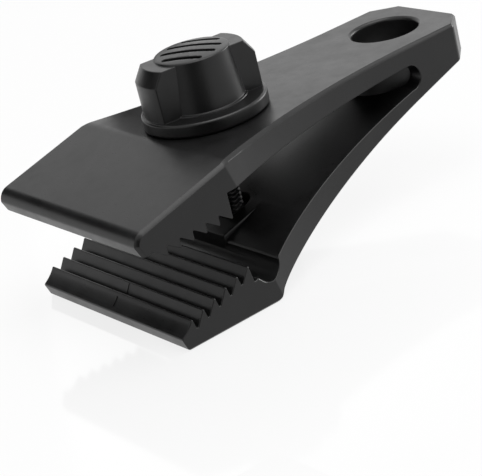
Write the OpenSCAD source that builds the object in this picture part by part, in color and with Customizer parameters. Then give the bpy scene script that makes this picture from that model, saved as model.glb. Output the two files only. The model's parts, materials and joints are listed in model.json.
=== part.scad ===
// Tarp clip: a springy plastic jaw that a thumb screw closes on a sheet. Millimetres, +Z up.
// The nose points to -Y. The origin is under the middle of the outline, on the face the clip stands on.
// The body is one moulding. It is split across its spring leaf, where the lower jaw bends up.

/* [Clip] */
// Overall length from nose to tail
clip_l = 85.6; // [80:0.2:96]
// Width across the jaws
jaw_w = 44; // [38:0.5:54]
// Height of the flat top above the base
body_h = 27.6; // [24:0.2:30]
// Run of the bevelled upper jaw from the nose to the bevel line
bevel_l = 20.6; // [20:0.2:24]
// Width of the neck beside the eyelet
neck_w = 24.2; // [21:0.2:30]
// Length of the flare from the bevel line to the straight neck
flare_l = 50; // [42:1:54]
// How much further back the lower jaw keeps its full width
lower_flare_setback = 1.4; // [0.4:0.2:6]
// Width of each slanted tail corner
tail_corner_w = 4.6; // [2:0.1:7]
// Length of each slanted tail corner
tail_corner_l = 4.7; // [2:0.1:6]
// Thickness of the tail at its end
tail_t = 7.3; // [5.5:0.1:8]
// Length of the flat foot under the tail
tail_foot_l = 4.7; // [2:0.1:6]

/* [Upper jaw and arm] */
// Thickness of the arm behind the jaw
arm_t = 5.2; // [4.2:0.1:6]
// Thickness of the arm above the round end of the slot
arm_end_t = 3.7; // [2.8:0.1:4.4]
// Slope of the bevel in degrees
bevel_angle = 13.6; // [8:0.2:16]
// Rounding of the nose
nose_r = 2.4; // [1:0.1:3]
// Depth of the foot of the nose below the flat top
nose_depth = 9.1; // [8.6:0.1:9.6]
// How far the nose leans in at its foot
nose_lean = 1; // [0.2:0.1:1.6]

/* [Teeth] */
// Number of teeth in each row
tooth_n = 6; // [3:1:6]
// Distance from tip to tip
tooth_pitch = 2.7; // [2:0.05:2.8]
// Depth of the upper teeth
tooth_h = 2; // [1:0.1:2.4]
// Depth of the lower teeth
lower_tooth_h = 2.4; // [1:0.1:2.8]
// Distance of the rear tip ahead of the bevel line
tooth_setback = 1.6; // [0.8:0.1:2]
// Depth of the rear upper tip below the flat top
tip_depth = 10; // [9:0.1:10.6]
// Slope of the upper row in degrees
row_angle = 2.2; // [0:0.2:3]

/* [Lower jaw] */
// Height of the rear lower tip above the base, jaws open
lower_tip_h = 9.06; // [8.6:0.02:9.6]
// Gap between facing tips when the jaws are closed
close_gap = 0.4; // [0.3:0.05:1.2]
// Distance of the front lip behind the nose
lip_setback = 3.7; // [3:0.1:4.4]
// Height of the edge of the front lip
lip_h = 2.5; // [1.6:0.1:2.8]
// How far the lip leans in at its foot
lip_lean = 0.9; // [0.3:0.1:1.6]
// Radius of the groove behind the teeth
groove_r = 2.8; // [1.6:0.1:3]
// Extra depth of the notch behind the rear lower tooth
notch_h = 1.2; // [0.4:0.1:1.4]
// Length of the small step between the notch and the groove
ridge_l = 0.8; // [0.4:0.1:1]
// Rise of the small step above the notch
ridge_h = 0.3; // [0.1:0.1:0.6]
// Distance of the end of the flat base behind the bevel line
base_setback = 3.1; // [2:0.1:4]
// Rounding of the rear edge of the base
base_r = 2.4; // [1:0.1:3]

/* [Spring leaf] */
// Distance of the foot of the leaf behind the bevel line
leaf_setback = 5.9; // [5.4:0.1:6.5]
// Height of the inner face of the leaf at its foot
leaf_foot_h = 6.9; // [6.4:0.1:7.4]
// Distance of the bending line behind the bevel line
flex_setback = 30.6; // [28:0.2:33]
// Gap that parts the moulding at the bending line
flex_gap = 0.3; // [0.2:0.05:0.6]
// Height of the round end of the slot
slot_h = 4.7; // [3.6:0.1:5]
// Distance from the end of the slot to the centre of the eyelet
slot_to_eye = 3.4; // [1:0.1:6]

/* [Eyelet] */
// Diameter of the eyelet
eye_d = 12.6; // [8:0.1:14]
// Distance of the eyelet centre from the tail end
eye_inset = 11; // [9.5:0.1:13]
// Bevel around the mouth of the eyelet
eye_lip = 0.5; // [0.2:0.1:1]
// Wall of the eyelet where it stands in the end of the slot
eye_wall = 3.5; // [2:0.1:4]

/* [Knob] */
// Diameter of the flange
flange_d = 22.6; // [20:0.1:26]
// Height of the flange
flange_h = 2.5; // [1.6:0.1:3.2]
// Rounding of the flange edges
flange_r = 0.5; // [0.2:0.1:0.7]
// Height of the knob
knob_h = 12.3; // [11:0.1:16]
// Diameter of the boss at its foot
boss_d = 15.2; // [15:0.1:18]
// Diameter of the boss at the top
boss_top_d = 13.4; // [12.6:0.1:15]
// Rise of the domed top
dome_h = 0.5; // [0.3:0.1:1.2]
// Diameter of the flat middle of the domed top
crown_d = 1.2; // [0.8:0.1:3]
// Width of each wing
wing_w = 8.4; // [7:0.2:12]
// Distance across the ends of the wings
wing_d = 21.4; // [18.6:0.1:21.5]
// Drop of the wings below the top edge of the boss
wing_drop = 0.3; // [0.1:0.1:1]
// Width of the bevel on each wing
wing_bevel_w = 1.6; // [0.8:0.1:2]
// Height of the bevel on each wing
wing_bevel_h = 2.6; // [1:0.1:4]
// Number of slots across the top
groove_n = 4; // [2:1:4]
// Distance from slot to slot
groove_pitch = 2.9; // [1.8:0.1:3]
// Width of each slot
groove_w = 1; // [0.6:0.1:1.2]
// Depth of each slot below the edge of the top
groove_depth = 0.5; // [0.2:0.1:1.2]
// Direction of the wings at rest, in degrees from +X
wing_angle = 81; // [0:1:180]
// Direction of the slots at rest, in degrees from +X
groove_angle = 32; // [0:1:180]

/* [Screw and nut] */
// Distance of the screw behind the bevel line
screw_setback = 12; // [11.6:0.1:13]
// Diameter of the screw thread
screw_d = 5; // [4:0.5:5]
// Pitch of the screw thread
screw_pitch = 0.8; // [0.7:0.05:1]
// Height of the end of the screw above the base
screw_end_h = 1; // [0.6:0.1:1.6]
// Width across the flats of the screw head
head_af = 8; // [7:0.1:8.4]
// Height of the screw head
head_h = 3.5; // [2.8:0.1:4]
// Plastic between the flange foot and the screw head
head_cover = 4; // [3:0.1:4.6]
// Width across the flats of the nut
nut_af = 8; // [7:0.1:8]
// Thickness of the nut
nut_t = 4; // [3:0.1:4]
// Height of the seat of the nut at the screw line, jaws open
seat_h = 7.6; // [7.4:0.1:8]
// Plastic above the nut
seat_t = 2; // [1.6:0.1:2.6]
// Wall around the nut pocket
pocket_wall = 1.6; // [1.2:0.1:2.4]

/* [Fits] */
// Gap under the knob flange
flange_gap = 0.1; // [0.05:0.05:0.3]
// Gap around the screw in the two arms
screw_clear = 0.35; // [0.3:0.05:0.6]
// Gap between the thread of the screw and the nut
thread_clear = 0.06; // [0.03:0.01:0.1]
// Gap around the nut in its pocket
nut_clear = 0.25; // [0.2:0.05:0.4]
// Gap above the leading corner of the nut, jaws open
nut_gap = 0.17; // [0.1:0.01:0.4]
// Gap around the screw head moulded into the knob
head_clear = 0.02; // [0.01:0.01:0.05]

/* [Hidden] */
$fn = 96;

// Overrun of every cut past the faces it opens
cut_over = 1;
// Steps along each curved edge of the leaf
curve_n = 18;
// Steps along each rounded corner
arc_n = 6;
// Control points of the leaf's inner and outer edges, as shares of their run and rise
inner_shares = [0.25, 0.4];
outer_shares = [0.05, 0.16];
// Turn of the rounded rear edge of the base, in degrees
base_turn = 55;
// Turn of the groove past its lowest point, in degrees
groove_turn = 50;
// Middle of the hollow in front of the first lower tooth, as shares from tip to lip
hollow_shares = [0.36, 0.62];
// Length of the bevel on the end of the screw
screw_bevel = screw_pitch;

// Places along the clip
y_nose = -clip_l / 2;
y_tail = clip_l / 2;
y_bevel = y_nose + bevel_l;
y_neck = y_bevel + flare_l;
y_screw = y_bevel + screw_setback;
y_eye = y_tail - eye_inset;
y_slot = y_eye - slot_to_eye - slot_h / 2;

// Inner and outer edges of the leaf, as curves with three control points
z_slot = body_h - arm_end_t - slot_h / 2;
inner_a = [y_bevel + leaf_setback, leaf_foot_h];
inner_c = [y_slot, z_slot - slot_h / 2];
inner_b = between(inner_a, inner_c, inner_shares);
base_c = [y_bevel + base_setback, base_r];
outer_a = base_c + base_r * [sin(base_turn), -cos(base_turn)];
outer_c = [y_tail - tail_foot_l, body_h - tail_t];
outer_b = between(outer_a, outer_c, outer_shares);

// The bending line, on the inner face of the leaf
flex_u = curve_u(inner_a, inner_b, inner_c, [1, 0], y_bevel + flex_setback);
pivot = curve(inner_a, inner_b, inner_c, flex_u);
flex_dir = unit((1 - flex_u) * (inner_b - inner_a) + flex_u * (inner_c - inner_b));

// Angle that the lower jaw closes through, until the rear tips face each other
closed_tip = tip(0) - [0, close_gap];
tip_reach = norm(closed_tip - pivot);
open_angle = asin((closed_tip[1] - pivot[1]) / tip_reach) - asin((lower_tip_h - pivot[1]) / tip_reach);

// Heights of the nut: its seat is square to the screw when the jaws are closed
nut_r = nut_af / sqrt(3);
seat_closed_h = pivot[1] + (seat_h - pivot[1] + (pivot[0] - y_screw) * tan(open_angle)) * cos(open_angle);
seat_line = opened([y_screw, seat_closed_h]);
nut_top = seat_z(y_screw - nut_r) - nut_gap;
pocket_front = y_screw - nut_r - nut_clear;
pocket_rear = opened([y_screw + nut_r, seat_closed_h - nut_clear - nut_t])[0] + nut_clear;

head_z = body_h + flange_gap + head_cover;
knob_z = body_h + flange_gap;

// A point a share of the way from a to b along the run and along the rise
function between(a, b, shares) = a + [shares[0] * (b[0] - a[0]), shares[1] * (b[1] - a[1])];
// A point on the curve with control points a, b and c
function curve(a, b, c, u) = (1 - u) * (1 - u) * a + 2 * u * (1 - u) * b + u * u * c;
function curve_points(a, b, c, from, to) =
    [for (i = [0:curve_n]) curve(a, b, c, from + (to - from) * i / curve_n)];
// Where along the curve the reach in direction dir is k
function curve_u(a, b, c, dir, k) =
    let (bend = (a - 2 * b + c) * dir, run = 2 * (b - a) * dir, start = a * dir - k)
    -2 * start / (run + sqrt(run * run - 4 * bend * start));
function unit(v) = v / norm(v);
function arc_points(c, r, from, to) =
    [for (i = [0:arc_n]) let (t = i / arc_n, a = from * (1 - t) + to * t) c + r * [cos(a), sin(a)]];
// A point of the lower jaw, from the closed to the open pose
function opened(p) =
    let (d = p - pivot, c = cos(open_angle), s = sin(open_angle))
    pivot + [d[0] * c - d[1] * s, d[0] * s + d[1] * c];

// Tips of the upper row, counted from the rear
function tip(i) =
    [y_bevel - tooth_setback - i * tooth_pitch, body_h - tip_depth - i * tooth_pitch * tan(row_angle)];
// The lower row faces the upper one when the jaws are closed
function lower_tip(i) = opened(tip(i) - [0, close_gap]);
function lower_root(i) = opened(tip(i) - [0, close_gap + lower_tooth_h]);
// Height of the nut's seat along the clip, jaws open
function seat_z(y) = seat_line[1] + (y - seat_line[0]) * tan(open_angle);

// Side view of the upper jaw, arm, tail and rear of the leaf, as (y, z)
module upper_profile() {
    reach = pivot * flex_dir + flex_gap / 2;
    nose_z = body_h - (nose_r + (bevel_l - nose_r) * sin(bevel_angle)) / cos(bevel_angle);
    polygon(concat(
        [[y_bevel, body_h], [y_tail, body_h], [y_tail, body_h - tail_t]],
        curve_points(outer_a, outer_b, outer_c, 1, curve_u(outer_a, outer_b, outer_c, flex_dir, reach)),
        curve_points(inner_a, inner_b, inner_c, curve_u(inner_a, inner_b, inner_c, flex_dir, reach), 1),
        arc_points([y_slot, z_slot], slot_h / 2, -90, 90),
        [[tip(0)[0], body_h - arm_t]],
        [for (i = [0:tooth_n - 1]) each [tip(i), tip(i + 1) + [0, tooth_h]]],
        [[y_nose + nose_lean, body_h - nose_depth]],
        arc_points([y_nose + nose_r, nose_z], nose_r, 180, 90 + bevel_angle)
    ));
}

// Side view of the lower jaw and the front of the leaf, as (y, z)
module lower_profile() {
    reach = pivot * flex_dir - flex_gap / 2;
    lip = [y_nose + lip_setback, lip_h];
    groove_c = inner_a - [groove_r, 0];
    notch = lower_root(0) - [0, notch_h];
    hollow = between(lower_tip(tooth_n - 1), lip, hollow_shares);
    polygon(concat(
        curve_points(inner_a, inner_b, inner_c, 0, curve_u(inner_a, inner_b, inner_c, flex_dir, reach)),
        curve_points(outer_a, outer_b, outer_c, curve_u(outer_a, outer_b, outer_c, flex_dir, reach), 0),
        arc_points(base_c, base_r, base_turn - 90, -90),
        [lip + [lip_lean, -lip_h], lip],
        curve_points(lip, hollow, lower_tip(tooth_n - 1), 0, 1),
        [for (i = [tooth_n - 1:-1:1]) each [lower_root(i), lower_tip(i - 1)]],
        [notch, notch + [ridge_l, ridge_h]],
        arc_points(groove_c, groove_r, -90 - groove_turn, 0)
    ));
}

// Top view of the moulding: full width to the kink, then a flare to the neck, and slanted tail corners
module plan(kink_y) {
    flare_w = (jaw_w - neck_w) / 2;
    run = y_neck - kink_y;
    flare_r = (run * run + flare_w * flare_w) / (2 * flare_w);
    half = [
        [jaw_w / 2, y_nose], [jaw_w / 2, y_neck], [neck_w / 2, y_neck],
        [neck_w / 2, y_tail - tail_corner_l], [neck_w / 2 - tail_corner_w, y_tail]
    ];
    difference() {
        polygon(concat(half, [for (i = [len(half) - 1:-1:0]) [-half[i][0], half[i][1]]]));
        for (side = [-1, 1])
            translate([side * (neck_w / 2 + flare_r), y_neck]) circle(r = flare_r, $fn = 360);
    }
}

// A side view drawn across the width
module across(width) {
    rotate([90, 0, 90]) linear_extrude(width, center = true) children();
}

// Turns what is drawn for the closed jaw to its place on the open clip
module open_pose() {
    translate([0, pivot[0], pivot[1]])
        rotate([open_angle, 0, 0])
            translate([0, -pivot[0], -pivot[1]]) children();
}

module eyelet_cut() {
    translate([0, y_eye, -cut_over]) cylinder(d = eye_d, h = body_h + 2 * cut_over);
    translate([0, y_eye, body_h - eye_lip])
        cylinder(d1 = eye_d, d2 = eye_d + 2 * (eye_lip + cut_over), h = eye_lip + cut_over);
}

// Front half of the eyelet's wall, from the leaf to the arm
module eyelet_wall() {
    wall_r = eye_d / 2 + eye_wall;
    translate([0, y_eye, z_slot - slot_h / 2 - cut_over])
    linear_extrude(slot_h + 2 * cut_over)
    intersection() {
        circle(r = wall_r);
        translate([-wall_r, -wall_r]) square([2 * wall_r, wall_r]);
    }
}

module upper_body() {
    color("#232425")
    difference() {
        union() {
            intersection() {
                across(jaw_w + 2 * cut_over) upper_profile();
                translate([0, 0, -cut_over]) linear_extrude(body_h + 2 * cut_over) plan(y_bevel);
            }
            eyelet_wall();
        }
        eyelet_cut();
        translate([0, y_screw, 0]) cylinder(d = screw_d + 2 * screw_clear, h = body_h + cut_over);
    }
}

// Block that carries the nut, as (y, z)
module nut_boss_profile() {
    front = pocket_front - pocket_wall;
    rear = pocket_rear + pocket_wall;
    foot = nut_top - nut_t;
    polygon([[front, foot], [rear, foot], [rear, seat_z(rear) + seat_t], [front, seat_z(front) + seat_t]]);
}

// Pocket that holds the nut and lets the jaw rock and slide on it, as (y, z)
module nut_pocket_profile() {
    polygon([
        [pocket_front, -cut_over], [pocket_rear, -cut_over],
        [pocket_rear, seat_z(pocket_rear)], [pocket_front, seat_z(pocket_front)]
    ]);
}

// Slot that clears the screw at every angle of the jaw
module screw_slot() {
    slot_w = screw_d + 2 * screw_clear;
    run = seat_line[0] - y_screw;
    linear_extrude(body_h) {
        for (y = [y_screw, y_screw + run]) translate([0, y]) circle(d = slot_w);
        translate([-slot_w / 2, y_screw]) square([slot_w, run]);
    }
}

module lower_jaw() {
    pocket_w = nut_af + 2 * nut_clear;
    color("#202122")
    difference() {
        union() {
            intersection() {
                across(jaw_w + 2 * cut_over) lower_profile();
                open_pose()
                    linear_extrude(4 * body_h, center = true) plan(y_bevel + lower_flare_setback);
            }
            across(pocket_w + 2 * pocket_wall) nut_boss_profile();
        }
        across(pocket_w) nut_pocket_profile();
        screw_slot();
    }
}

// Flange with rounded edges and boss with a domed top, as (radius, height)
module turned_profile() {
    rim = flange_d / 2 - flange_r;
    dome_run = (boss_top_d - crown_d) / 2;
    dome_r = (dome_run * dome_run + dome_h * dome_h) / (2 * dome_h);
    dome_turn = asin(dome_run / dome_r);
    polygon(concat(
        [[0, 0]],
        arc_points([rim, flange_r], flange_r, -90, 0),
        arc_points([rim, flange_h - flange_r], flange_r, 0, 90),
        [[boss_d / 2, flange_h]],
        arc_points([crown_d / 2, knob_h - dome_r], dome_r, 90 - dome_turn, 90),
        [[0, knob_h]]
    ));
}

// Outline that both wings are cut from, as (radius, height)
module wing_profile() {
    foot = flange_h / 2;
    top = knob_h - dome_h - wing_drop;
    rim = wing_d / 2;
    polygon([[0, foot], [rim, foot], [rim, top - wing_bevel_h], [rim - wing_bevel_w, top], [0, top]]);
}

module knob_grooves() {
    floor_z = knob_h - dome_h - groove_depth;
    for (i = [0:groove_n - 1]) {
        offset_y = (i - (groove_n - 1) / 2) * groove_pitch;
        reach = sqrt(boss_top_d * boss_top_d / 4 - offset_y * offset_y) - groove_w;
        translate([-reach, offset_y - groove_w / 2, floor_z])
            cube([2 * reach, groove_w, knob_h]);
    }
}

module knob() {
    head_d = (head_af + 2 * head_clear) * 2 / sqrt(3);
    color("#1c1d1e")
    translate([0, y_screw, knob_z])
    difference() {
        union() {
            rotate_extrude() turned_profile();
            rotate([0, 0, wing_angle])
            intersection() {
                rotate_extrude() wing_profile();
                translate([-flange_d / 2, -wing_w / 2, 0]) cube([flange_d, wing_w, knob_h]);
            }
        }
        rotate([0, 0, groove_angle]) knob_grooves();
        translate([0, 0, -cut_over]) cylinder(d = screw_d + 2 * head_clear, h = head_cover + 2 * cut_over);
        translate([0, 0, head_cover]) cylinder(d = head_d, h = head_h + head_clear, $fn = 6);
    }
}

module screw() {
    shank_l = head_z - screw_end_h;
    color("#8f9296")
    translate([0, y_screw, screw_end_h]) {
        cylinder(d1 = screw_d - 2 * screw_bevel, d2 = screw_d, h = screw_bevel);
        translate([0, 0, screw_bevel]) cylinder(d = screw_d, h = shank_l - screw_bevel + head_clear);
        translate([0, 0, shank_l + head_clear])
            cylinder(d = head_af * 2 / sqrt(3), h = head_h - head_clear, $fn = 6);
    }
}

module nut() {
    color("#8f9296")
    translate([0, y_screw, nut_top - nut_t])
    difference() {
        rotate([0, 0, 30]) cylinder(r = nut_r, h = nut_t, $fn = 6);
        translate([0, 0, -cut_over]) cylinder(d = screw_d + 2 * thread_clear, h = nut_t + 2 * cut_over);
    }
}

upper_body();
lower_jaw();
knob();
screw();
nut();
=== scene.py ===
import json
import math

import bmesh
import bpy
import numpy as np
from mathutils import Matrix, Vector


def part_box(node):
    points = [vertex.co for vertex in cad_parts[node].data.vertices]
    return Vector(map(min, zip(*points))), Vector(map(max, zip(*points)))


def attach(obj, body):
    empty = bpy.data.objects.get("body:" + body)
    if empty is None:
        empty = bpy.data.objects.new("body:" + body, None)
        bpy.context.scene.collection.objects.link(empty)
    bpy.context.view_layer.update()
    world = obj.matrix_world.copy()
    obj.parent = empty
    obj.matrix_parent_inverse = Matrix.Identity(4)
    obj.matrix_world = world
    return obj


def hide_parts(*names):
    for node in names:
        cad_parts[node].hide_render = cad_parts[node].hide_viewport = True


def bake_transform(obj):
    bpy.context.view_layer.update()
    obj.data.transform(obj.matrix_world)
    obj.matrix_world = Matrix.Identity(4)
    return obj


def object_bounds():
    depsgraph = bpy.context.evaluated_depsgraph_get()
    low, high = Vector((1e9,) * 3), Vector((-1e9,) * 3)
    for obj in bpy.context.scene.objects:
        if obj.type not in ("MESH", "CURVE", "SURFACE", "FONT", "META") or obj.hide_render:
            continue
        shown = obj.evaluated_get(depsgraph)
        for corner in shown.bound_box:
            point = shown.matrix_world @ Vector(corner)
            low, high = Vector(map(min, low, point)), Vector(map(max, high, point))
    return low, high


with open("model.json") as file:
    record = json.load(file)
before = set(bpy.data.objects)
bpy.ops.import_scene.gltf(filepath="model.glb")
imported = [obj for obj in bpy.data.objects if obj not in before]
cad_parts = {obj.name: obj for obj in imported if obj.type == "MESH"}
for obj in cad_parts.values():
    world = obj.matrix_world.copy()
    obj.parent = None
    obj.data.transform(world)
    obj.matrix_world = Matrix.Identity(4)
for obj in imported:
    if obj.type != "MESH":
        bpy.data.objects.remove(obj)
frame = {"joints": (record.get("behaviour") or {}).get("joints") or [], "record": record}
cad_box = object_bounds()

# Sizes are in millimetres. Those that the frame holds are read from it, and MM turns them into metres.
MM = 0.001
joints = {joint["name"]: joint for joint in frame["joints"]}
mounts = {mount["name"]: mount for mount in frame["record"]["mounts"]}
body_low, body_high = (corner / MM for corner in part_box("upper_body"))
knob_low, knob_high = (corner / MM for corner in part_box("knob"))
nut_low, nut_high = (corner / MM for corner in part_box("nut"))
screw_low, screw_high = (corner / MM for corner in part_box("screw"))

# Moulding
jaw_w = body_high.x - body_low.x
body_h = body_high.z
bevel_l = 20.6
neck_w = 24.2
flare_l = 50
kink_lean = 1.5
kink_top_share = 0.8
lower_flare_setback = 1.4
tail_corner_w = 4.6
tail_corner_l = 4.7
tail_t = 7.3
arm_t = 5.2
arm_end_t = 3.7
bevel_angle = math.radians(13.6)
nose_r = 2.4
nose_depth = 9.1
nose_lean = 1
tooth_n = 6
tooth_pitch = 2.7
tooth_h = 2
lower_tooth_h = 2.4
tooth_setback = 1.6
tip_depth = 10
row_angle = math.radians(2.2)
close_gap = 0.4
lip_setback = 3.7
lip_h = 2.5
lip_lean = 0.9
groove_r = 2.8
groove_turn = math.radians(50)
notch_h = 1.2
ridge_l = 0.8
ridge_h = 0.3
base_setback = 3.1
base_r = 2.4
base_turn = math.radians(55)
leaf_setback = 5.9
leaf_foot_h = 6.9
slot_h = 4.7
slot_to_eye = 3.4
eye_wall = 3.5
inner_shares = (0.25, 0.4)
outer_shares = (0.05, 0.16)
hollow_shares = (0.36, 0.62)

# Roundings of the moulding
top_edge = 0.65
base_edge_share = 0.55
fine_edge_share = 0.19
tip_r = 0.22
root_r = 0.2
lip_r = 0.35
bevel_line_r = 6
eye_lip_r = 0.7
eye_lip_turn = 1.4
block_edge_r = 0.4
mark_w = 0.35
mark_h = 0.09
mark_sunk = 0.4
mark_shares = (0.3, 0.85)

# Steps along the curves of the moulding
flare_steps = 23
groove_steps = 12
leaf_steps = 28
seam_step = 26
hollow_steps = 8

# How far a cutter reaches past the face that it opens
cut_over = 1

# Nut pocket in the leaf
nut_af = nut_high.x - nut_low.x
nut_clear = 0.25
pocket_wall = 1.6
seat_h = 7.6
seat_t = 2
screw_clear = 0.35

# Knob
flange_d = knob_high.x - knob_low.x
knob_h = knob_high.z - knob_low.z
flange_h = 2.5
flange_r = 0.5
boss_d = 15.2
boss_top_d = 13.4
dome_h = 0.5
wing_w = 8.4
wing_inset = 0.6
wing_d = flange_d - 2 * wing_inset
wing_foot = 0.6
wing_drop = 0.3
wing_bevel_w = 1.6
wing_bevel_h = 2.6
wing_angle = math.radians(81)
groove_n = 4
groove_pitch = 2.9
groove_w = 1
groove_depth = 0.5
groove_margin = 1.3
groove_angle = math.radians(32)
step_w = 0.4
step_h = 0.2
edge_r = 0.1
boss_edge_r = 0.3
wing_edge_r = 0.16
groove_edge_r = 0.09

# Screw and nut
screw_d = 5
screw_pitch = 0.8
head_af = 8
head_h = 3.5
thread_depth = 0.42
thread_clear = 0.06
thread_turns = 8
thread_sides = 32
flank_share = 1.3
crest_share = 0.15
head_clear = 0.02
head_edge_r = 0.15
nut_corner_share = 0.54
nut_edge_r = 0.08

# Places along the clip, as (y, z) where both are given
y_nose = body_low.y
y_tail = body_high.y
y_bevel = y_nose + bevel_l
y_neck = y_bevel + flare_l
y_screw = joints["knob_turn"]["pos_m"][1] / MM
y_eye = mounts["eyelet"]["pos_m"][1] / MM
eye_r = mounts["eyelet"]["dims"]["r_mm"]
y_slot = y_eye - slot_to_eye - slot_h / 2
z_slot = body_h - arm_end_t - slot_h / 2
pivot = np.array(joints["jaw_close"]["pos_m"][1:]) / MM
open_angle = math.radians(joints["jaw_close"]["range_deg"][1])


def between(a, b, shares):
    """The point a share of the way from a to b along the run and along the rise."""
    return a + np.array(shares) * (b - a)


def curve(a, b, c, u):
    return (1 - u) ** 2 * a + 2 * u * (1 - u) * b + u * u * c


def curve_u(points, along, reach):
    """Where the curve with these three control points has this reach in direction along."""
    a, b, c = (p @ along for p in points)
    bend, run, start = a - 2 * b + c, 2 * (b - a), a - reach
    return -2 * start / (run + math.sqrt(run * run - 4 * bend * start))


def direction(angle):
    return np.array([math.cos(angle), math.sin(angle)])


def arc(centre, r, start, end, steps):
    return [centre + r * direction(a) for a in np.linspace(start, end, steps + 1)]


def opened(p):
    """A point of the lower jaw, from the closed to the open pose."""
    c, s = direction(open_angle)
    y, z = p - pivot
    return pivot + np.array([y * c - z * s, y * s + z * c])


def unit(v):
    return v / np.linalg.norm(v)


def rounded(points, radii, steps=5):
    """Rounds the inner corners of a chain of points, each with its own radius."""
    chain = [points[0]]
    for before, corner, after, r in zip(points, points[1:], points[2:], radii):
        into, out = unit(before - corner), unit(after - corner)
        half = math.acos(into @ out) / 2
        centre = corner + unit(into + out) * r / math.sin(half)
        ends = [corner + r / math.tan(half) * way - centre for way in (into, out)]
        turn = math.pi - 2 * half
        for u in np.linspace(0, 1, steps):
            swept = math.sin((1 - u) * turn) * ends[0] + math.sin(u * turn) * ends[1]
            chain.append(centre + swept / math.sin(turn))
    return chain + [points[-1]]


def half_width(y, kink_y):
    """Half the moulding's width: full up to the kink, then a round flare to the neck."""
    flare_w = (jaw_w - neck_w) / 2
    run = y_neck - kink_y
    r = (run * run + flare_w * flare_w) / (2 * flare_w)
    back = min(max(y_neck - y, 0), run)
    return neck_w / 2 + r - math.sqrt(r * r - back * back)


def upper_tip(i):
    run = i * tooth_pitch
    return np.array([y_bevel - tooth_setback - run, body_h - tip_depth - run * math.tan(row_angle)])


def lower_tip(i, depth=0.0):
    return opened(upper_tip(i) - [0, close_gap + depth])


inner = [np.array([y_bevel + leaf_setback, leaf_foot_h]), None, np.array([y_slot, z_slot - slot_h / 2])]
inner[1] = between(inner[0], inner[2], inner_shares)
base_c = np.array([y_bevel + base_setback, base_r])
tail_foot = np.array([y_tail - tail_corner_l, body_h - tail_t])
outer = [base_c + base_r * direction(base_turn - math.pi / 2), None, tail_foot]
outer[1] = between(outer[0], outer[2], outer_shares)
groove_c = inner[0] - [groove_r, 0]


def on_outer(p, turn):
    """The point of the leaf's outer edge that lies across the leaf from p."""
    along = direction(turn)
    if p @ along >= outer[0] @ along:
        return curve(*outer, curve_u(outer, along, p @ along))
    reach = (p - base_c) @ along
    down = direction(turn - math.pi / 2)
    return base_c + reach * along + math.sqrt(base_r * base_r - reach * reach) * down


def top_z(y):
    """Height of the top: flat behind the bevel line, falling ahead of it, with a soft line between."""
    soft = bevel_line_r * math.tan(bevel_angle / 2)
    d = y_bevel - y
    if d <= -soft:
        return body_h
    if d >= soft:
        return body_h - d * math.tan(bevel_angle)
    return body_h - (d + soft) ** 2 / (4 * soft) * math.tan(bevel_angle)


def front_hollow():
    """The hollow in front of the first lower tooth, from the lip up to the tip."""
    lip = np.array([y_nose + lip_setback, lip_h])
    first = lower_tip(tooth_n - 1)
    middle = between(first, lip, hollow_shares)
    return [curve(lip, middle, first, u) for u in np.linspace(0, 1, hollow_steps + 1)]


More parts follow.
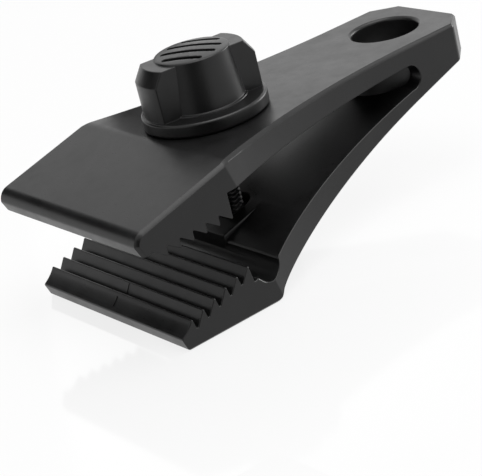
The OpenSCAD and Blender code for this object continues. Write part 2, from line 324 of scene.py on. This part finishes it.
def side_view():
    """The moulding's outline as named runs of (y, z, half width), in order round the side view."""
    kink_top = y_bevel - kink_lean * kink_top_share
    kink_foot = y_bevel + kink_lean * (1 - kink_top_share)
    soft = bevel_line_r * math.tan(bevel_angle / 2)
    lead = (np.linspace(-soft, soft, 5) + y_bevel - kink_top) / (y_slot - kink_top)
    shares = sorted([0.0, *lead, *np.linspace(lead[-1], 1, flare_steps + 1)[1:]])
    widths = [half_width(y_bevel + s * (y_slot - y_bevel), y_bevel) for s in shares]
    widths[-1] = neck_w / 2
    tops = [kink_top + s * (y_slot - kink_top) for s in shares]
    feet = [kink_foot + s * (y_slot - kink_foot) for s in shares]
    foot_slope = (arm_t - arm_end_t) / (y_slot - upper_tip(0)[0])
    feet_z = [body_h - arm_t + (y - upper_tip(0)[0]) * foot_slope for y in feet]

    kink = y_bevel + lower_flare_setback
    reach = kink - pivot[0] - (groove_c - pivot) @ direction(open_angle)
    kink_turn = open_angle - math.acos(reach / groove_r)
    leaf = arc(groove_c, groove_r, kink_turn, 0, groove_steps)
    leaf += [curve(*inner, u) for u in np.linspace(0, 1, leaf_steps + 1)[1:]]
    turns = [open_angle * min(1, (y_slot - p[0]) / (y_slot - pivot[0])) for p in leaf]
    leaf_w = [half_width(pivot[0] + (p - pivot) @ direction(a), kink) for p, a in zip(leaf, turns)]
    leaf_w[-1] = neck_w / 2
    across = [on_outer(p, a) for p, a in zip(leaf, turns)]

    last_u = curve_u(outer, np.array([1.0, 0.0]), y_slot)
    tail_w = neck_w / 2 - tail_corner_w
    hollow = front_hollow()
    lip, first = hollow[0], hollow[-1]
    notch = lower_tip(0, lower_tooth_h) - [0, notch_h]
    lower_row = []
    for i in range(tooth_n - 1, 0, -1):
        lower_row += [lower_tip(i, lower_tooth_h), lower_tip(i - 1)]
    groove = arc(groove_c, groove_r, -math.pi / 2 - groove_turn, kink_turn, 6)
    front = [lip + [lip_lean, -lip_h], lip, hollow[1]]
    mouth = [hollow[-3], first, *lower_row, notch, notch + [ridge_l, ridge_h], groove[0]]
    mouth_r = [tip_r] + [root_r, tip_r] * (tooth_n - 1) + [root_r, root_r]
    upper_row = [p for i in range(tooth_n) for p in (upper_tip(i), upper_tip(i + 1) + [0, tooth_h])]
    root = np.array([upper_tip(0)[0], body_h - arm_t])
    foot = np.array([y_nose + nose_lean, body_h - nose_depth])
    nose_z = body_h - (nose_r + (bevel_l - nose_r) * math.sin(bevel_angle)) / math.cos(bevel_angle)
    nose = arc(np.array([y_nose + nose_r, nose_z]), nose_r, math.pi, math.pi / 2 + bevel_angle, 10)
    kink_p = np.array([feet[0], feet_z[0]])
    upper_jaw = rounded([kink_p, root, *upper_row, foot], [root_r] + [tip_r, root_r] * tooth_n)
    kink_foot_p = across[0] - base_c
    base_arc = arc(base_c, base_r, math.atan2(kink_foot_p[1], kink_foot_p[0]), -math.pi / 2, 5)[1:]
    slot_end = arc(np.array([y_slot, z_slot]), slot_h / 2, -math.pi / 2, math.pi / 2, 20)

    def flat(points, w):
        return [(*p, w) for p in points]

    full = jaw_w / 2
    return {
        "top": [(y, top_z(y), w) for y, w in zip(tops, widths)],
        "tail": [(y_tail - tail_corner_l, body_h, neck_w / 2), (y_tail, body_h, tail_w)],
        "tail_foot": [(y_tail, tail_foot[1], tail_w), (*tail_foot, neck_w / 2)],
        "outer_rear": flat([curve(*outer, u) for u in np.linspace(1, last_u, 8)[1:-1]], neck_w / 2),
        "outer": [(*p, w) for p, w in zip(across, leaf_w)][::-1],
        "base": flat(base_arc, full),
        "lower_jaw": flat(
            [*rounded(front, [lip_r])[:-1], *hollow[1:-3], *rounded(mouth, mouth_r), *groove[1:-1]], full
        ),
        "inner": [(*p, w) for p, w in zip(leaf, leaf_w)],
        "slot": flat(slot_end[1:-1], neck_w / 2),
        "arm": [(y, z, w) for y, z, w in zip(feet, feet_z, widths)][::-1],
        "upper_jaw": flat(upper_jaw[1:-1], full),
        "nose": flat([foot, *nose], full),
    }


def new_object(name, mesh):
    piece = bpy.data.objects.new(name, mesh)
    bpy.context.scene.collection.objects.link(piece)
    return piece


def mesh_of(name, bm):
    """Ends a bmesh drawn in millimetres as an object in metres."""
    bmesh.ops.recalc_face_normals(bm, faces=bm.faces)
    bm.transform(Matrix.Scale(MM, 4))
    mesh = bpy.data.meshes.new(name)
    bm.to_mesh(mesh)
    bm.free()
    return new_object(name, mesh)


def apply_modifiers(piece):
    """Replaces the piece's mesh with what its modifiers make of it."""
    depsgraph = bpy.context.evaluated_depsgraph_get()
    made = bpy.data.meshes.new_from_object(piece.evaluated_get(depsgraph), depsgraph=depsgraph)
    piece.modifiers.clear()
    piece.data = made
    return piece


def combine(piece, other, operation):
    """Adds, cuts or keeps the common part of two pieces, and drops the second."""
    modifier = piece.modifiers.new(operation.lower(), "BOOLEAN")
    modifier.operation = operation
    modifier.solver = "EXACT"
    modifier.object = other
    apply_modifiers(piece)
    bpy.data.objects.remove(other)
    return piece


def lathe(name, profile, steps=96, centre=(0.0, 0.0, 0.0)):
    """A closed turned solid from a profile of (radius, height) whose ends are on the axis."""
    bm = bmesh.new()
    x, y, z = centre
    rings = []
    for r, h in profile:
        turns = np.linspace(0, 2 * math.pi, steps, endpoint=False) if r > 0 else [0.0]
        rings.append([bm.verts.new((x + r * math.cos(a), y + r * math.sin(a), z + h)) for a in turns])
    for low, high in zip(rings, rings[1:]):
        for i in range(steps):
            j = i + 1
            corners = [low[i % len(low)], low[j % len(low)], high[j % len(high)], high[i % len(high)]]
            bm.faces.new(list(dict.fromkeys(corners)))
    return mesh_of(name, bm)


def extruded(name, outline, low, high, place):
    """A prism over an outline. place turns an outline point and a depth into (x, y, z)."""
    bm = bmesh.new()
    ends = [[bm.verts.new(place(p, depth)) for p in outline] for depth in (low, high)]
    for end in ends:
        bm.faces.new(end)
    for i in range(len(outline)):
        j = (i + 1) % len(outline)
        bm.faces.new([ends[0][i], ends[0][j], ends[1][j], ends[1][i]])
    return mesh_of(name, bm)


def sideways(p, x):
    return (x, p[0], p[1])


def upwards(p, z):
    return (p[0], p[1], z)


def soften(piece, width, segments=3, profile=0.5, angle=None):
    """Rounds edges: those with a bevel weight, or those sharper than an angle."""
    modifier = piece.modifiers.new("edges", "BEVEL")
    modifier.width = width * MM
    modifier.segments = segments
    modifier.profile = profile
    modifier.use_clamp_overlap = False
    modifier.limit_method = "WEIGHT" if angle is None else "ANGLE"
    if angle is not None:
        modifier.angle_limit = math.radians(angle)
    return apply_modifiers(piece)


def smooth(piece, sharp=34):
    """Shades smooth, with flat faces kept flat and edges sharper than an angle kept crisp."""
    piece.data.shade_smooth()
    piece.data.set_sharp_from_angle(angle=math.radians(sharp))
    modifier = piece.modifiers.new("normals", "WEIGHTED_NORMAL")
    modifier.keep_sharp = True
    return apply_modifiers(piece)


def moulding_mesh():
    """The whole moulding before its holes, with edge weights for its rounded edges."""
    runs = side_view()
    outline = [p for run in runs.values() for p in run]
    count = len(outline)
    first = dict(zip(runs, np.cumsum([0] + [len(run) for run in runs.values()])))
    bm = bmesh.new()
    weight = bm.edges.layers.float.new("bevel_weight_edge")
    sides = [[bm.verts.new((s * w, y, z)) for y, z, w in outline] for s in (-1, 1)]
    for i in range(count):
        j = (i + 1) % count
        bm.faces.new([sides[0][i], sides[0][j], sides[1][j], sides[1][i]])

    def span(name):
        return list(range(first[name], first[name] + len(runs[name])))

    arm, top, leaf, rim = span("arm"), span("top"), span("inner"), span("outer")[::-1]
    sheets = [list(q) for q in zip(top, top[1:], arm[::-1][1:], arm[::-1])]
    sheets += [list(q) for q in zip(leaf, leaf[1:], rim[1:], rim)]
    sheets.append([arm[-1], *span("upper_jaw"), *span("nose"), top[0]])
    sheets.append([rim[0], *span("base"), *span("lower_jaw"), leaf[0]])
    corner = span("tail")
    foot = span("tail_foot")
    sheets.append([corner[0], corner[1], *foot])
    neck_edge = [top[-1], corner[0], foot[-1], *span("outer_rear"), rim[-1]]
    sheets.append([*neck_edge, leaf[-1], *span("slot"), arm[0]])
    for side in sides:
        for sheet in sheets:
            bm.faces.new([side[i] for i in sheet])

    def mark(pairs, share):
        for a, b in pairs:
            bm.edges.get((a, b))[weight] = share

    for side in sides:
        mark([(side[i], side[(i + 1) % count]) for i in range(count)], fine_edge_share)
        mark([(side[a], side[(a + 1) % count]) for a in [*span("nose"), *top, *corner[:1]]], 1)
        low_run = [*foot, *span("outer_rear"), *span("outer"), *span("base")]
        mark([(side[a], side[a + 1]) for a in low_run], base_edge_share)
        mark([(side[corner[0]], side[foot[-1]]), (side[corner[1]], side[foot[0]])], base_edge_share)
    mark([(sides[0][corner[1]], sides[1][corner[1]])], 1)
    crossings = [foot[0], first["lower_jaw"], first["nose"], leaf[groove_steps]]
    mark([(sides[0][i], sides[1][i]) for i in crossings], base_edge_share)
    piece = mesh_of("moulding", bm)
    return soften(piece, top_edge, segments=4, profile=0.3)


def parting_mark(points):
    """A fine raised line up a front face of the lower row, where two halves of the mould met."""
    chain = np.array(points)
    out = [unit(np.array([-rise, run])) for run, rise in np.gradient(chain, axis=0)]
    face = [p + mark_h * n for p, n in zip(chain, out)]
    back = [p - mark_sunk * n for p, n in zip(chain, out)]
    return extruded("parting_mark", face + back[::-1], -mark_w / 2, mark_w / 2, sideways)


def seat_z(y):
    """Height of the nut's seat along the clip, jaws open."""
    return seat_h + (y - y_screw) * math.tan(open_angle)


def bore_eyelet(piece):
    """Adds the eyelet's front wall, and cuts the eyelet with a rounded lip."""
    wall = arc(np.array([0, y_eye]), eye_r + eye_wall, math.pi, 2 * math.pi, 48)
    low, high = z_slot - slot_h / 2 - cut_over, z_slot + slot_h / 2 + cut_over
    combine(piece, extruded("eye_wall", wall, low, high, upwards), "UNION")
    lip = [
        (eye_r + eye_lip_r * (1 - math.cos(a)), body_h - eye_lip_r * (1 - math.sin(a)))
        for a in np.linspace(0, eye_lip_turn, 6)
    ]
    eye = [(0, 0), (eye_r, 0), *lip, (lip[-1][0], body_h + cut_over), (0, body_h + cut_over)]
    combine(piece, lathe("eye_cut", eye, 120, (0, y_eye, 0)), "DIFFERENCE")


def bore_screw_and_nut(piece):
    """Cuts the screw hole, and adds the block with the nut's pocket to the leaf."""
    hole_r = screw_d / 2 + screw_clear
    low, high = body_h - 2 * arm_t, body_h + cut_over
    hole = [(0, low), (hole_r, low), (hole_r, high), (0, high)]
    combine(piece, lathe("screw_cut", hole, 48, (0, y_screw, 0)), "DIFFERENCE")

    nut_r = nut_af / math.sqrt(3)
    lever = pivot[0] - y_screw
    seat_closed = pivot[1] + (seat_h - pivot[1] + lever * math.tan(open_angle)) * math.cos(open_angle)
    nut_foot = seat_closed - nut_clear - (nut_high.z - nut_low.z)
    front = y_screw - nut_r - nut_clear
    rear = opened(np.array([y_screw + nut_r, nut_foot]))[0] + nut_clear
    block_front, block_rear = front - pocket_wall, rear + pocket_wall
    block = [
        (block_front, nut_low.z), (block_rear, nut_low.z),
        (block_rear, seat_z(block_rear) + seat_t), (block_front, seat_z(block_front) + seat_t),
    ]
    pocket = [(front, -cut_over), (rear, -cut_over), (rear, seat_z(rear)), (front, seat_z(front))]
    pocket_w = nut_af / 2 + nut_clear
    block_w = pocket_w + pocket_wall
    boss = soften(extruded("boss", block, -block_w, block_w, sideways), block_edge_r, 2, angle=40)
    combine(piece, boss, "UNION")
    combine(piece, extruded("pocket_cut", pocket, -pocket_w, pocket_w, sideways), "DIFFERENCE")
    run = opened(np.array([y_screw, seat_closed]))[0] - y_screw
    centre = np.array([0, y_screw])
    slot = arc(centre, hole_r, math.pi, 2 * math.pi, 16) + arc(centre + [0, run], hole_r, 0, math.pi, 16)
    combine(piece, extruded("slot_cut", slot, 0, low, upwards), "DIFFERENCE")


def bored_moulding():
    """The moulding with its eyelet, screw hole, nut pocket and parting marks."""
    piece = moulding_mesh()
    bore_eyelet(piece)
    bore_screw_and_nut(piece)
    second = [lower_tip(tooth_n - 1, lower_tooth_h), lower_tip(tooth_n - 2)]
    on_second = [between(*second, (share, share)) for share in mark_shares]
    for points in (front_hollow()[2:-2], on_second):
        combine(piece, parting_mark(points), "UNION")
    return smooth(piece)


def part_of(piece, name, keep):
    """A closed copy of the faces whose centre passes a test, with the shading of the whole."""
    mesh = piece.data.copy()
    normals = np.empty(len(mesh.loops) * 3, np.float32)
    mesh.corner_normals.foreach_get("vector", normals)
    mesh.attributes.new("whole_normal", "FLOAT_VECTOR", "CORNER").data.foreach_set("vector", normals)
    bm = bmesh.new()
    bm.from_mesh(mesh)
    drop = [f for f in bm.faces if not keep(f.calc_center_median() / MM)]
    bmesh.ops.delete(bm, geom=drop, context="FACES")
    rim = [e for e in bm.edges if e.is_boundary]
    caps = bmesh.ops.edgeloop_fill(bm, edges=rim)["faces"]
    layer = bm.loops.layers.float_vector["whole_normal"]
    for cap in caps:
        cap.normal_update()
        for loop in cap.loops:
            loop[layer] = cap.normal
    for edge in rim:
        edge.smooth = False
    bm.to_mesh(mesh)
    bm.free()
    attribute = mesh.attributes["whole_normal"]
    normals = np.empty(len(mesh.loops) * 3, np.float32)
    attribute.data.foreach_get("vector", normals)
    mesh.attributes.remove(attribute)
    mesh.normals_split_custom_set(normals.reshape(-1, 3).tolist())
    return new_object(name, mesh)


def moulding():
    """The moulding in two pieces that meet in the leaf: the upper piece, and the lower piece that holds the
    lower jaw.
    """
    whole = bored_moulding()
    station = curve(*inner, seam_step / leaf_steps)
    across = direction(open_angle * min(1, (y_slot - station[0]) / (y_slot - pivot[0])))
    mouth_z = (upper_tip(0)[1] + lower_tip(0)[1]) / 2
    rise = (z_slot - mouth_z) / (y_slot - upper_tip(0)[0])

    def bends(c):
        below = c.z < mouth_z + (c.y - upper_tip(0)[0]) * rise
        return below and (np.array([c.y, c.z]) - station) @ across < 0

    upper = part_of(whole, "moulding_upper", lambda c: not bends(c))
    lower = part_of(whole, "moulding_lower", bends)
    bpy.data.objects.remove(whole)
    return upper, lower


def turned_knob():
    """Flange, step and boss with a domed top, as a turned solid."""
    rim = flange_d / 2 - flange_r
    edge_z = knob_h - dome_h
    dome_r = (boss_top_d ** 2 / 4 + dome_h ** 2) / (2 * dome_h)
    dome_turn = math.asin(boss_top_d / 2 / dome_r)
    quarter = math.pi / 2
    foot_r = boss_d / 2
    flange = arc(np.array([rim, flange_r]), flange_r, -quarter, 0, 6)
    flange += arc(np.array([rim, flange_h - flange_r]), flange_r, 0, quarter, 6)
    corner = [
        np.array([foot_r + step_w, flange_h]), np.array([foot_r + step_w, flange_h + step_h]),
        np.array([foot_r, flange_h + step_h]), np.array([boss_top_d / 2, edge_z]),
    ]
    dome = arc(np.array([0, knob_h - dome_r]), dome_r, quarter - dome_turn, quarter, 10)
    boss = rounded([*corner, dome[1]], [edge_r, step_h, boss_edge_r], 4)
    profile = [(0, 0), *flange, *boss[:-1], *dome[1:-1], (0, knob_h)]
    return lathe("knob_turned", profile, 128)


def knob_wings():
    """Both wings as one bar with round ends, which lean in at the top."""
    top, rim = knob_h - dome_h - wing_drop, wing_d / 2
    rings = []
    for r, z in ((rim, wing_foot), (rim, top - wing_bevel_h), (rim - wing_bevel_w, top)):
        turn = math.asin(wing_w / 2 / r)
        ends = arc(np.zeros(2), r, -turn, turn, 10)
        ends += arc(np.zeros(2), r, math.pi - turn, math.pi + turn, 10)
        rings.append([(*p, z) for p in ends])
    wings = skin("wings", rings)
    wings.data.transform(Matrix.Rotation(wing_angle, 4, "Z"))
    return soften(wings, wing_edge_r, 3, angle=30)


def knob():
    """The knob with its wings, the slots in its top and the seat of the screw head."""
    piece = combine(turned_knob(), knob_wings(), "UNION")
    floor_z = knob_h - dome_h - groove_depth
    half = groove_w / 2
    turn = Matrix.Rotation(groove_angle, 4, "Z")
    for i in range(groove_n):
        offset = (i - (groove_n - 1) / 2) * groove_pitch
        reach = math.sqrt(boss_top_d ** 2 / 4 - offset ** 2) - groove_margin * groove_w - half
        outline = arc(np.array([reach, offset]), half, -math.pi / 2, math.pi / 2, 8)
        outline += arc(np.array([-reach, offset]), half, math.pi / 2, 1.5 * math.pi, 8)
        cut = extruded("groove_cut", outline, floor_z, knob_h + cut_over, upwards)
        cut.data.transform(turn)
        combine(piece, cut, "DIFFERENCE")
    soften(piece, groove_edge_r, 2, angle=55)
    head_low = screw_high.z - head_h - knob_low.z
    bore = [(0, -cut_over), (screw_d / 2, -cut_over), (screw_d / 2, head_low), (0, head_low)]
    combine(piece, lathe("bore_cut", bore, 48), "DIFFERENCE")
    head = extruded("head_cut", hexagon(head_af), head_low, head_low + head_h, upwards)
    combine(piece, head, "DIFFERENCE")
    piece.data.transform(Matrix.Translation(Vector((0, y_screw, knob_low.z)) * MM))
    piece.name = "knob_winged"
    return smooth(piece)


def hexagon(across_flats, start=0.0):
    r = across_flats / math.sqrt(3)
    return [r * direction(start + i * math.pi / 3) for i in range(6)]


def thread(r, low, high, pitch, depth):
    """Rings of points along an outer thread with plain ends."""
    rings = []
    for k in range(int((high - low) / pitch * thread_turns) + 1):
        z = low + k * pitch / thread_turns
        fade = max(min((z - low) / pitch, (high - z) / pitch, 1), 0)
        ring = []
        for i in range(thread_sides):
            wave = abs(2 * ((z / pitch - i / thread_sides) % 1) - 1)
            drop = depth * min(max(flank_share * wave - crest_share, 0), 1)
            ring.append((*((r - drop * fade) * direction(2 * math.pi * i / thread_sides)), z))
        rings.append(ring)
    return rings


def skin(name, rings):
    """A closed mesh over rings of points, with a cap at both ends."""
    bm = bmesh.new()
    loops = [[bm.verts.new(p) for p in ring] for ring in rings]
    count = len(rings[0])
    for low, high in zip(loops, loops[1:]):
        for i in range(count):
            j = (i + 1) % count
            bm.faces.new([low[i], low[j], high[j], high[i]])
    bm.faces.new(loops[0])
    bm.faces.new(loops[-1])
    return mesh_of(name, bm)


def screw():
    """A threaded rod with a bevelled end, and the hexagon head that the knob holds."""
    r, tip = screw_d / 2, screw_low.z
    head_low = screw_high.z - head_h
    turns = [2 * math.pi * i / thread_sides for i in range(thread_sides)]
    bevel = [(r - thread_depth, tip), (r, tip + thread_depth)]
    rings = [[(*(k * direction(a)), z) for a in turns] for k, z in bevel]
    rings += thread(r, tip + thread_depth, head_low, screw_pitch, thread_depth)
    piece = skin("screw_threaded", rings)
    shape = hexagon(head_af - 2 * head_clear)
    head = extruded("head", shape, head_low - head_clear, screw_high.z, upwards)
    combine(piece, soften(head, head_edge_r, 2, angle=40), "UNION")
    piece.data.transform(Matrix.Translation(Vector((0, y_screw, 0)) * MM))
    piece.name = "screw_threaded"
    return smooth(piece)


def nut():
    """A hexagon nut with bevelled corners and a plain bore."""
    high = nut_high.z - nut_low.z
    r, flat_r = nut_af / math.sqrt(3), nut_af / 2
    piece = extruded("nut_bevelled", hexagon(nut_af, math.pi / 6), 0, high, upwards)
    slope = (r - flat_r) * nut_corner_share
    shape = [(0, 0), (flat_r, 0), (r, slope), (r, high - slope), (flat_r, high), (0, high)]
    combine(piece, lathe("corner_cut", shape, 96), "INTERSECT")
    bore_r = screw_d / 2 + thread_clear
    mouth_r = bore_r + thread_depth
    bore = [
        (0, -cut_over), (mouth_r, -cut_over), (mouth_r, 0), (bore_r, thread_depth),
        (bore_r, high - thread_depth), (mouth_r, high), (mouth_r, high + cut_over), (0, high + cut_over),
    ]
    combine(piece, lathe("bore_cut", bore, 48), "DIFFERENCE")
    soften(piece, nut_edge_r, 2, angle=40)
    piece.data.transform(Matrix.Translation(Vector((0, y_screw, nut_low.z)) * MM))
    piece.name = "nut_bevelled"
    return smooth(piece, 40)


class Nodes:
    """A short way to write a node tree: a call makes a node, sets its values and links its inputs."""

    def __init__(self, tree):
        self.tree = tree
        tree.nodes.clear()

    def add(self, kind, inputs=None, **settings):
        node = self.tree.nodes.new("ShaderNode" + kind)
        for key, value in settings.items():
            setattr(node, key, value)
        for key, value in (inputs or {}).items():
            socket = node.inputs[key]
            if isinstance(value, bpy.types.NodeSocket):
                self.tree.links.new(value, socket)
            else:
                socket.default_value = value
        return node

    def noise(self, where, scale, detail=3.0, rough=0.55):
        inputs = {"Vector": where, "Scale": scale, "Detail": detail, "Roughness": rough}
        return self.add("TexNoise", inputs).outputs[0]

    def spread(self, value, low, high, start=0.3, end=0.7):
        """Maps a value from start to end onto low to high."""
        return self.add("MapRange", {0: value, 1: start, 2: end, 3: low, 4: high}).outputs[0]

    def math(self, operation, a, b):
        return self.add("Math", {0: a, 1: b}, operation=operation).outputs[0]

    def blend(self, share, a, b):
        node = self.add("Mix", {"Factor": share}, data_type="RGBA")
        for socket, value in ((node.inputs[6], a), (node.inputs[7], b)):
            if isinstance(value, bpy.types.NodeSocket):
                self.tree.links.new(value, socket)
            else:
                socket.default_value = value
        return node.outputs[2]


def grey(value):
    return (value, value, value * 1.02, 1)


def new_material(name):
    material = bpy.data.materials.new(name)
    material.use_nodes = True
    return material, Nodes(material.node_tree)


def edge_mask(nodes, radius):
    """1 along sharp outer and inner edges, 0 on flat stretches."""
    geometry = nodes.add("NewGeometry")
    bent = nodes.add("Bevel", {"Radius": radius}, samples=6)
    pair = {0: geometry.outputs["Normal"], 1: bent.outputs[0]}
    match = nodes.add("VectorMath", pair, operation="DOT_PRODUCT")
    return nodes.spread(match.outputs["Value"], 1.0, 0.0, 0.94, 0.998)


def plastic(name, base, worn, rough):
    """Satin moulded plastic: fine grain, uneven gloss, faint flow shades and slightly polished edges."""
    material, nodes = new_material(name)
    where = nodes.add("TexCoord").outputs["Object"]
    flow = nodes.noise(where, 90.0, 4.0)
    cloud = nodes.noise(where, 420.0, 3.0)
    grain = nodes.noise(where, 5200.0, 2.0)
    scuff_turn, scuff_stretch = (0.2, 0.1, 0.5), (1.0, 9.0, 6.0)
    scuff_where = nodes.add("Mapping", {"Vector": where, "Rotation": scuff_turn, "Scale": scuff_stretch})
    scuff = nodes.spread(nodes.noise(scuff_where.outputs[0], 900.0, 2.0), 0.0, 1.0, 0.66, 0.74)
    edge = nodes.math("MULTIPLY", edge_mask(nodes, 0.0003), nodes.spread(cloud, 0.1, 0.55))
    tone = nodes.blend(nodes.spread(flow, 0.0, 0.35), base, worn)
    tone = nodes.blend(edge, tone, worn)
    uneven = nodes.spread(cloud, -0.03, 0.03)
    gloss = nodes.math("ADD", nodes.spread(flow, rough - 0.04, rough + 0.04), uneven)
    gloss = nodes.math("SUBTRACT", gloss, nodes.math("MULTIPLY", edge, 0.12))
    gloss = nodes.math("SUBTRACT", gloss, nodes.math("MULTIPLY", scuff, 0.05))
    relief = nodes.math("MULTIPLY", grain, 0.5)
    relief = nodes.math("ADD", relief, nodes.math("MULTIPLY", scuff, -0.25))
    bump = nodes.add("Bump", {"Strength": 0.22, "Distance": 0.00003, "Height": relief})
    shader = nodes.add("BsdfPrincipled", {"Base Color": tone, "Roughness": gloss, "Normal": bump.outputs[0]})
    shader.inputs["IOR"].default_value = 1.4
    nodes.add("OutputMaterial", {"Surface": shader.outputs[0]})
    return material


def steel(name):
    """Blackened steel: fine turning lines and an uneven oxide."""
    material, nodes = new_material(name)
    where = nodes.add("TexCoord").outputs["Object"]
    cloud = nodes.noise(where, 700.0, 4.0)
    lines_where = nodes.add("Mapping", {"Vector": where, "Scale": (1.0, 1.0, 14.0)})
    lines = nodes.noise(lines_where.outputs[0], 1500.0, 2.0)
    dark, pale = (0.02, 0.02, 0.022, 1), (0.055, 0.054, 0.053, 1)
    tone = nodes.blend(nodes.spread(cloud, 0.0, 1.0), dark, pale)
    gloss = nodes.math("ADD", nodes.spread(cloud, 0.26, 0.4), nodes.spread(lines, -0.05, 0.05))
    bump = nodes.add("Bump", {"Strength": 0.15, "Distance": 0.00002, "Height": lines})
    shader = nodes.add("BsdfPrincipled", {"Base Color": tone, "Roughness": gloss, "Normal": bump.outputs[0]})
    shader.inputs["Metallic"].default_value = 1
    nodes.add("OutputMaterial", {"Surface": shader.outputs[0]})
    return material


def dress(piece, material):
    piece.data.materials.clear()
    piece.data.materials.append(material)


def assemble():
    """Makes every piece, gives it its material and sets each piece but the lower moulding on its body."""
    body_black = plastic("body_black", grey(0.004), grey(0.014), 0.33)
    knob_black = plastic("knob_black", grey(0.0035), grey(0.014), 0.33)
    dark_steel = steel("dark_steel")
    upper, lower = moulding()
    for piece, node in ((upper, "upper_body"), (lower, "lower_jaw")):
        dress(piece, body_black)
        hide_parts(node)
    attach(upper, "upper_body")
    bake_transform(lower)
    for piece, material, slot, node, body in (
        (knob(), knob_black, "knob", "knob", "knob"),
        (screw(), dark_steel, "steel", "screw", "knob"),
        (nut(), dark_steel, "steel", "nut", "nut"),
    ):
        dress(piece, material)
        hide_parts(node)
        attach(piece, body)


def camera():
    """The photograph's camera: azimuth, elevation, roll, place and lens."""
    image_w, image_h = 482, 476
    azimuth, elevation, roll = (math.radians(a) for a in (58.25, 21.75, -14.22))
    focal, axis_x, axis_y = 1912.74, 226.4, 207.6
    data = bpy.data.cameras.new("camera")
    data.sensor_width = 36
    data.lens = focal / image_w * data.sensor_width
    data.shift_x = (image_w / 2 - axis_x) / image_w
    data.shift_y = (axis_y - image_h / 2) / image_w
    turn = Matrix.Rotation(azimuth, 4, "Z") @ Matrix.Rotation(math.pi / 2 - elevation, 4, "X")
    turn = turn @ Matrix.Rotation(roll, 4, "Z")
    piece = bpy.data.objects.new("camera", data)
    place = Vector((268.5, -177.2, 135.8)) * MM
    piece.matrix_world = Matrix.Translation(place) @ turn
    bpy.context.scene.collection.objects.link(piece)
    bpy.context.scene.camera = piece


def area_light(name, place, target, size, power):
    data = bpy.data.lights.new(name, "AREA")
    data.shape = "RECTANGLE"
    data.size, data.size_y = size
    data.energy = power
    lamp = bpy.data.objects.new(name, data)
    lamp.location = place
    lamp.rotation_euler = (Vector(target) - Vector(place)).to_track_quat("-Z", "Y").to_euler()
    lamp.visible_camera = False
    bpy.context.scene.collection.objects.link(lamp)


def flag(name, place, target, size):
    """A black card that only reflections show, which darkens a part of the white surroundings."""
    bm = bmesh.new()
    bmesh.ops.create_grid(bm, x_segments=1, y_segments=1, size=0.5)
    card = mesh_of(name, bm)
    card.scale = (size[0] / MM, size[1] / MM, 1)
    card.location = place
    card.rotation_euler = (Vector(target) - Vector(place)).to_track_quat("Z", "Y").to_euler()
    card.visible_camera = card.visible_shadow = card.visible_diffuse = False
    material, nodes = new_material(name)
    matt = nodes.add("BsdfDiffuse", {"Color": (0, 0, 0, 1)})
    nodes.add("OutputMaterial", {"Surface": matt.outputs[0]})
    card.data.materials.append(material)


def seen_directly(nodes):
    """1 for what the camera, a mirror or glass sees, and 0 for light that falls on the object."""
    path = nodes.add("LightPath").outputs
    shown = nodes.math("MAXIMUM", path["Is Camera Ray"], path["Is Glossy Ray"])
    return nodes.math("MAXIMUM", shown, path["Is Transmission Ray"])


def white_floor():
    """A white floor that keeps a soft shadow and a faint mirror image."""
    bm = bmesh.new()
    bmesh.ops.create_grid(bm, x_segments=1, y_segments=1, size=3000)
    floor = mesh_of("floor", bm)
    floor.location.z = cad_box[0].z - 0.02 * MM
    material, nodes = new_material("floor_white")
    matt = nodes.add("BsdfDiffuse", {"Color": (0.92, 0.92, 0.92, 1)})
    glow = nodes.add("Emission", {"Color": (1, 1, 1, 1)})
    share = nodes.math("MULTIPLY", seen_directly(nodes), 0.88)
    plain = nodes.add("MixShader", {0: share, 1: matt.outputs[0], 2: glow.outputs[0]})
    mirror = nodes.add("BsdfGlossy", {"Color": (1, 1, 1, 1), "Roughness": 0.08})
    place = nodes.add("NewGeometry").outputs["Position"]
    nose = (0, y_nose * MM, 0)
    away = nodes.add("VectorMath", {0: place, 1: nose}, operation="DISTANCE").outputs["Value"]
    near = nodes.spread(away, 0.08, 0.0, 0.0, 0.085)
    mirror_share = nodes.math("MULTIPLY", nodes.add("LightPath").outputs["Is Camera Ray"], near)
    both = nodes.add("MixShader", {0: mirror_share, 1: plain.outputs[0], 2: mirror.outputs[0]})
    nodes.add("OutputMaterial", {"Surface": both.outputs[0]})
    floor.data.materials.append(material)


def studio():
    """White surroundings, soft lamps above and behind, and black cards for the dark reflections."""
    world = bpy.data.worlds.new("studio")
    bpy.context.scene.world = world
    world.use_nodes = True
    nodes = Nodes(world.node_tree)
    level = nodes.spread(seen_directly(nodes), 0.35, 1.0, 0.0, 1.0)
    sky = nodes.add("Background", {"Color": (1, 1, 1, 1), "Strength": level})
    nodes.add("OutputWorld", {"Surface": sky.outputs[0]})
    area_light("top", place=(0.2, 0.15, 0.85), target=(0, 0, 0.02), size=(0.8, 0.8), power=6)
    area_light("back", place=(-0.98, 0.84, 0.56), target=(0, 0, 0.02), size=(0.8, 0.6), power=0.6)
    area_light("rear", place=(0.05, 0.5, 0.09), target=(0.01, -0.01, 0.015), size=(0.3, 0.16), power=1)
    flag("floor_flag", place=(0.18, -0.175, 0.0005), target=(0.18, -0.175, 1), size=(0.24, 0.25))
    flag("front_flag", place=(-0.03, -0.215, 0.0005), target=(-0.03, -0.215, 1), size=(0.18, 0.17))
    flag("camera_flag", place=(0.42, -0.29, 0.1), target=(0, 0, 0.03), size=(0.5, 0.4))
    flag("nose_flag", place=(-0.105, -0.09, 0.088), target=(0, -0.04, 0.014), size=(0.13, 0.076))
    flag("left_flag", place=(-0.045, 0.006, 0.026), target=(0, 0.006, 0.026), size=(0.02, 0.044))


camera()
assemble()
white_floor()
studio()
bpy.context.scene.view_settings.view_transform = "Standard"
